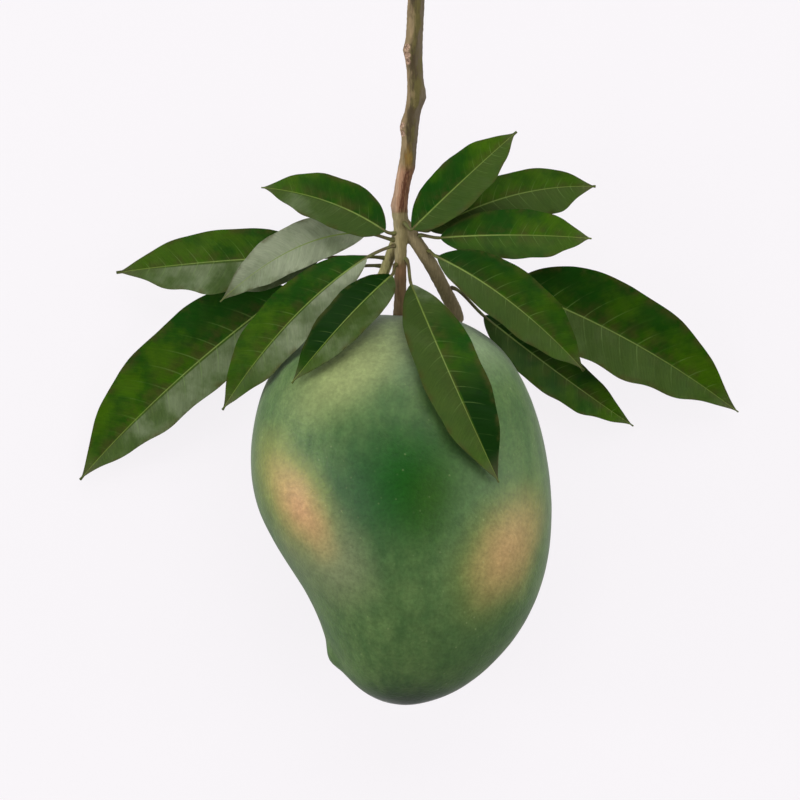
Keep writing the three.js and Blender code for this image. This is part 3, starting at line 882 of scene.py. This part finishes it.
# %% Make the leaves
RIB_STEPS = 40
RIB_END = 0.96
RIB_DROP = 0.12
RIB_RADIUS = 0.58
RIB_TAPER = 0.2
FOOT_RADIUS = 0.95
PETIOLE_RADIUS = 0.64
PETIOLE_SWELL = 0.25
PETIOLE_LEAVE = 0.2
PETIOLE_BEND = 0.33
PETIOLE_STEPS = 12
PETIOLE_SUNK = 1.3
UNEVEN = 0.7 * MM
UNEVEN_SIZE = 9 * MM
EDGE_SHARE = 0.35
SMOOTH_ANGLE = math.radians(50)
uneven_noise = bpy.data.textures.new("leaf_uneven", "CLOUDS")
uneven_noise.noise_scale = UNEVEN_SIZE


def painted_light_at(painted_light, t, s):
    at_heel, at_tip = painted_light[0 if s < 0 else 1]
    return at_heel + (at_tip - at_heel) * t


def make_blade(leaf, name, painted_light):
    bpy.ops.object.select_all(action="DESELECT")
    bpy.ops.mesh.primitive_grid_add(x_subdivisions=BLADE_STEPS, y_subdivisions=BLADE_COLUMNS, size=2)
    blade = bpy.context.object
    blade.name = name
    places = [((v.co.x + 1) / 2, -v.co.y) for v in blade.data.vertices]
    for vertex, (t, s) in zip(blade.data.vertices, places):
        vertex.co = leaf.point(t, s) * MM
    write_attribute(blade.data, "along", [t for t, s in places])
    write_attribute(blade.data, "across", [s for t, s in places])
    write_attribute(blade.data, "vein", [leaf.vein(t, s) for t, s in places])
    write_attribute(blade.data, "painted_light", [painted_light_at(painted_light, t, s) for t, s in places])
    write_attribute(blade.data, "off_rib", [abs(s) * leaf.half_width(t, s) for t, s in places])
    loose = blade.vertex_groups.new(name="loose")
    body = blade.vertex_groups.new(name="body")
    for index, (t, s) in enumerate(places):
        loose.add([index], smooth_share(abs(s), 0.5), "REPLACE")
        body.add([index], 1 - s ** 4, "REPLACE")
    for finish in (leaf_face, leaf_back):
        blade.data.materials.append(finish)
    uneven = blade.modifiers.new("uneven", "DISPLACE")
    uneven.texture = uneven_noise
    uneven.texture_coords = "LOCAL"
    uneven.strength = UNEVEN
    uneven.vertex_group = loose.name
    thick = blade.modifiers.new("thickness", "SOLIDIFY")
    thick.thickness = BLADE_THICKNESS * MM
    thick.offset = -1
    thick.material_offset = 1
    thick.vertex_group = body.name
    thick.thickness_vertex_group = EDGE_SHARE
    apply_modifiers(blade)
    blade.vertex_groups.clear()
    return blade


def make_rib(leaf, root, outward, name):
    """The petiole and midrib as one tapering tube."""
    span = (root - leaf.heel).length
    leaving = (outward + (leaf.heel - root).normalized()).normalized()
    away = root + leaving * span * PETIOLE_LEAVE
    bends = (root, away, leaf.heel - leaf.along(0) * span * PETIOLE_BEND, leaf.heel)
    line = [(root - outward * PETIOLE_SUNK, FOOT_RADIUS, 0)]
    for i in range(PETIOLE_STEPS):
        u = i / PETIOLE_STEPS
        shares = ((1 - u) ** 3, 3 * u * (1 - u) ** 2, 3 * u * u * (1 - u), u ** 3)
        place = sum((bend * share for bend, share in zip(bends, shares)), Vector())
        radius = PETIOLE_RADIUS + PETIOLE_SWELL * math.exp(-((u * span / 2) ** 2))
        line.append((place, radius, 0))
    for i in range(RIB_STEPS + 1):
        t = RIB_END * i / RIB_STEPS
        line.append((leaf.midrib(t) - leaf.above(t) * RIB_DROP, RIB_RADIUS - RIB_TAPER * t, t))
    curve = bpy.data.curves.new(name, "CURVE")
    curve.dimensions = "3D"
    curve.bevel_depth = MM
    curve.bevel_resolution = 2
    curve.use_fill_caps = True
    spline = curve.splines.new("POLY")
    spline.points.add(len(line) - 1)
    for point, (place, radius, t) in zip(spline.points, line):
        point.co = (*(place * MM), 1)
        point.radius = radius
    rib = bpy.data.objects.new(name, curve)
    bpy.context.scene.collection.objects.link(rib)
    pick(rib)
    bpy.ops.object.convert(target="MESH")
    rib = bpy.context.object
    join_doubles()
    sides = len(rib.data.vertices) // len(line)
    write_attribute(rib.data, "along", [line[i // sides][2] for i in range(len(rib.data.vertices))])
    rib.data.materials.append(leaf_rib)
    return rib


for number, (name, heel, middle, tip, halves, widest, roll) in enumerate(LEAVES):
    leaf = Leaf(number, heel, middle, tip, halves, widest, roll)
    root, outward = petiole_root(name)
    blade = make_blade(leaf, "mango_" + name, PAINTED_HALF_LIGHT[name])
    rib = make_rib(leaf, root, outward, name + "_rib")
    pick(blade)
    rib.select_set(True)
    bpy.ops.object.join()
    bpy.ops.object.shade_smooth_by_angle(angle=SMOOTH_ANGLE)
    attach(blade, "root")
    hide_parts(name)
    print(name, len(blade.data.polygons), "faces, root", [round(c, 1) for c in root])
